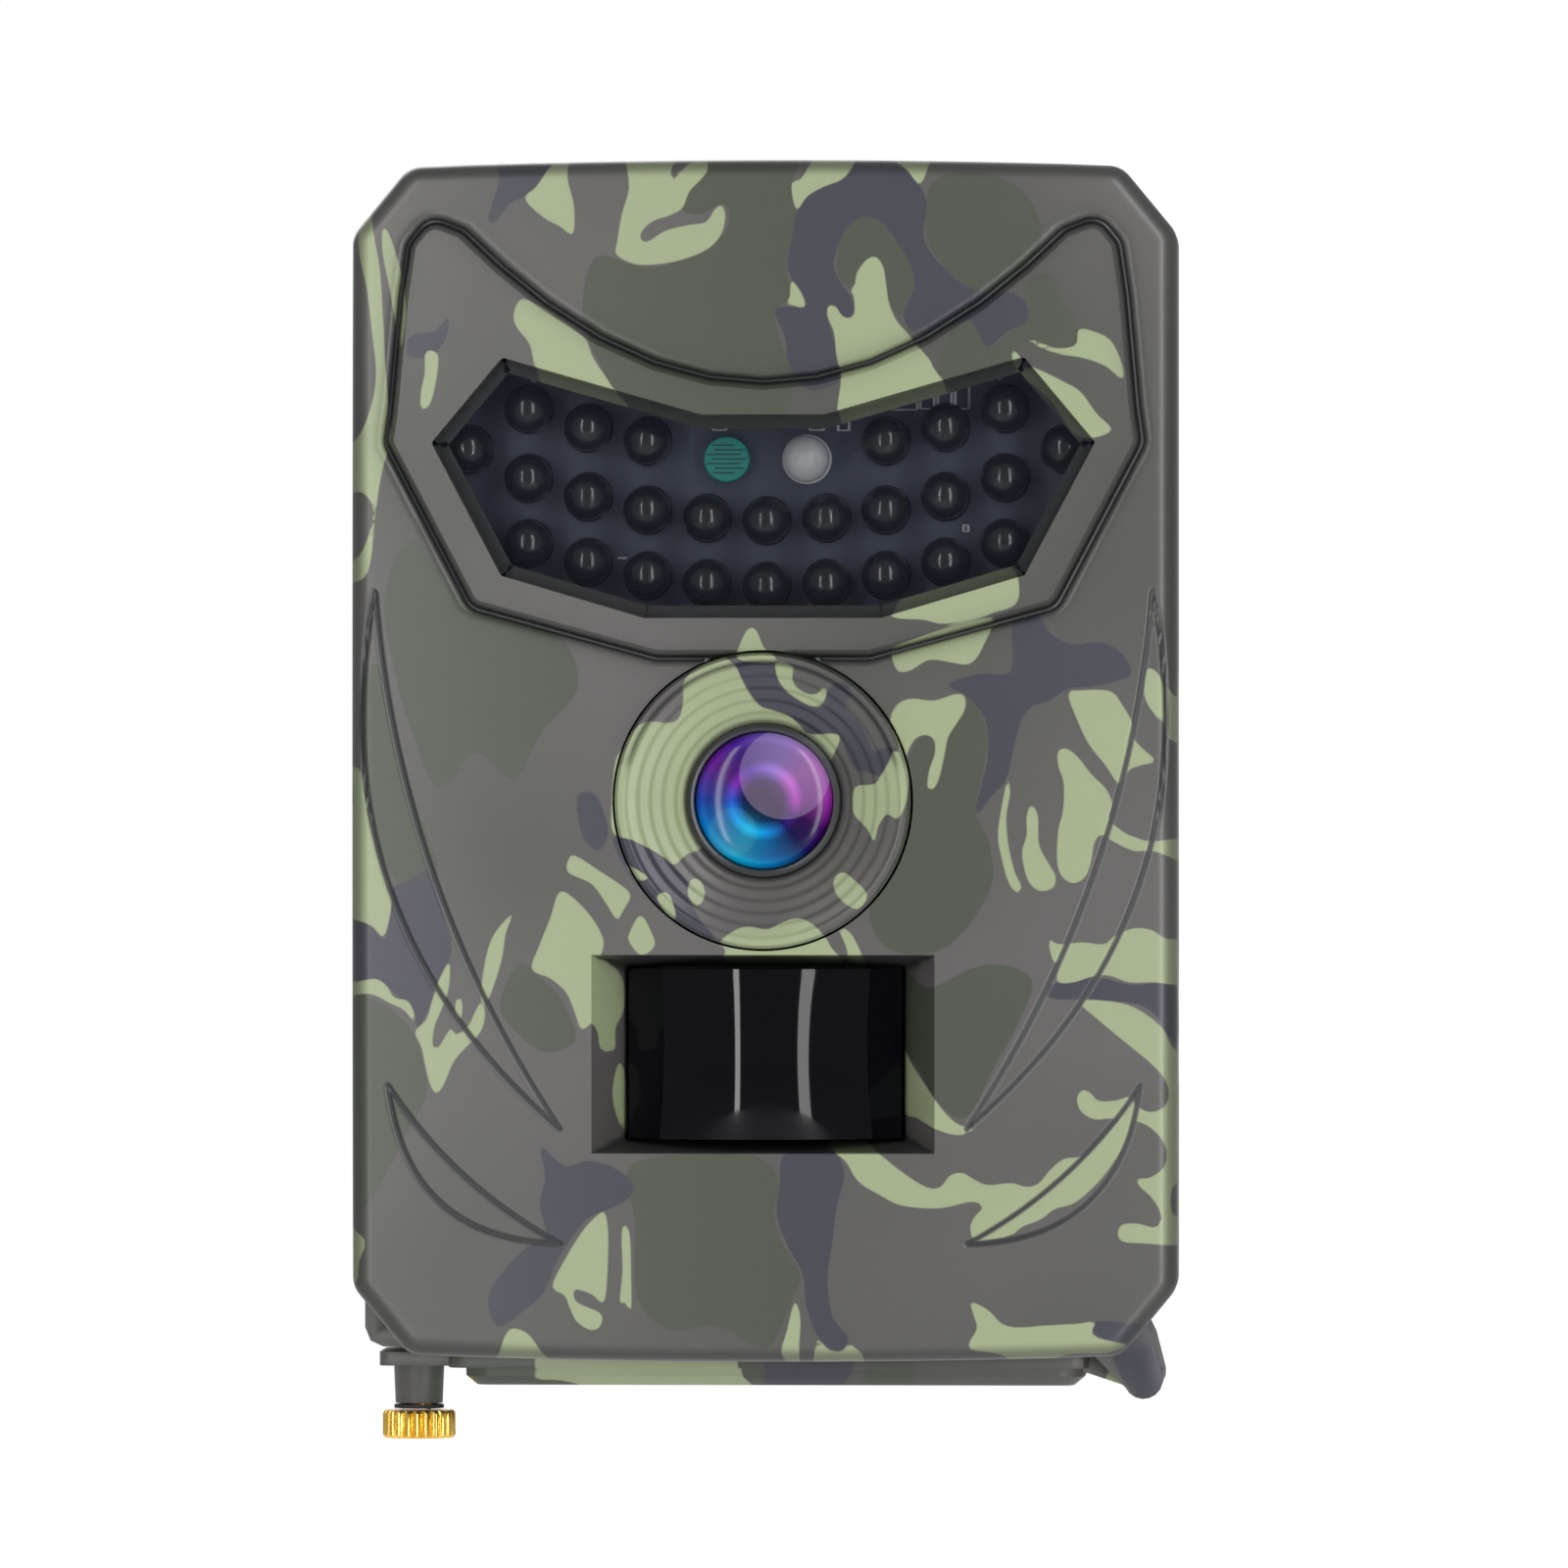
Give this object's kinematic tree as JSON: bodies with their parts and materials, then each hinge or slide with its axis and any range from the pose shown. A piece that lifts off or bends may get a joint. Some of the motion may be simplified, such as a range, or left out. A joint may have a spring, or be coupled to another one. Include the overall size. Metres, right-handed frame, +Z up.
{
  "type": "trail camera",
  "caption": "Boxy weatherproof trail camera with a smoked lamp window over the lens, a motion sensor window below it, a hinged battery door underneath and strap ridges on its back.",
  "frame": {"origin": "middle of the flat tree rest on the back, at half the housing's height", "axes": "+Z up, +X to the right of a person facing the camera, -Y is where the camera looks, so +Y points into the tree"},
  "size_m": [0.0894, 0.0503, 0.1395],
  "materials": {
    "camo": "satin moulded plastic with a printed leaf and bark camouflage in grey-brown, olive, slate and sage",
    "black_plastic": "satin black plastic",
    "smoked_window": "polished, smoked and see-through",
    "pir_black": "glossy black polyethylene",
    "rubber": "matt black rubber",
    "brass": "polished brass",
    "steel": "nickel-plated steel",
    "board": "dark slate solder mask",
    "glass": "coated glass with blue, cyan and magenta reflections",
    "cell": "plain printed steel jacket",
    "cell_clear": "clear epoxy",
    "sensor_teal": "teal ceramic disc",
    "ribbon": "flat flexible cable"
  },
  "bodies": {
    "housing": {"front_cover": "camo", "rear_shell": "camo", "case_seal": "rubber", "case_screw_1": "steel", "case_screw_2": "steel", "case_screw_3": "steel", "case_screw_4": "steel", "door_hinge_pin": "steel", "thumbscrew_insert": "brass", "tripod_insert": "brass", "led_window": "smoked_window", "led_board": "board", "led_ribbon": "ribbon", "photoresistor": "sensor_teal", "status_led": "cell_clear", "lens_bezel": "camo", "lens_ring": "black_plastic", "lens_glass": "glass", "lens_barrel": "black_plastic", "lens_holder": "black_plastic", "image_sensor": "black_plastic", "pir_lens": "pir_black", "pir_sensor": "steel", "main_board": "board", "usb_socket": "steel", "card_slot": "steel", "microphone": "steel", "mode_switch_body": "steel", "control_panel": "black_plastic", "battery_box": "black_plastic", "cell_1": "cell", "cell_2": "cell", "cell_3": "cell", "cell_4": "cell", "contact_positive": "steel", "contact_bridge_top": "steel", "contact_negative": "steel", "spring_top_2": "steel", "spring_top_4": "steel"},
    "door": {"battery_door": "camo", "door_seal": "rubber", "contact_bridge_door_1": "steel", "contact_bridge_door_2": "steel", "spring_door_1": "steel", "spring_door_2": "steel"},
    "screw_carrier": {"thumbscrew_washer": "rubber"},
    "screw": {"thumbscrew": "brass"},
    "mode_knob": {"mode_switch_knob": "black_plastic"},
    "ir_filter": {"ir_cut_slider": "black_plastic"},
    "card": {"memory_card": "black_plastic"}
  },
  "joints": [
    {"name": "door_hinge", "type": "hinge", "parent": "housing", "child": "door", "pos_m": [0.0408, -0.0214, -0.0674], "axis": [0, -1, 0], "range_deg": [0, 110]},
    {"name": "thumbscrew_travel", "type": "slide", "parent": "door", "child": "screw_carrier", "axis": [0, 0, -1], "range_m": [0, 0.0055]},
    {"name": "thumbscrew_spin", "type": "hinge", "parent": "screw_carrier", "child": "screw", "pos_m": [-0.0391, -0.021, -0.0709], "axis": [0, 0, -1], "range_deg": [0, 3960]},
    {"name": "mode_switch_slide", "type": "slide", "parent": "housing", "child": "mode_knob", "axis": [1, 0, 0], "range_m": [0, 0.004]},
    {"name": "ir_filter_slide", "type": "slide", "parent": "housing", "child": "ir_filter", "axis": [-1, 0, 0], "range_m": [0, 0.006]},
    {"name": "card_eject", "type": "slide", "parent": "housing", "child": "card", "axis": [0, 0, -1], "range_m": [0, 0.0014]}
  ],
  "couplings": [
    {"joint": "thumbscrew_spin", "follows": "thumbscrew_travel", "rad_per_m": 12566}
  ]
}
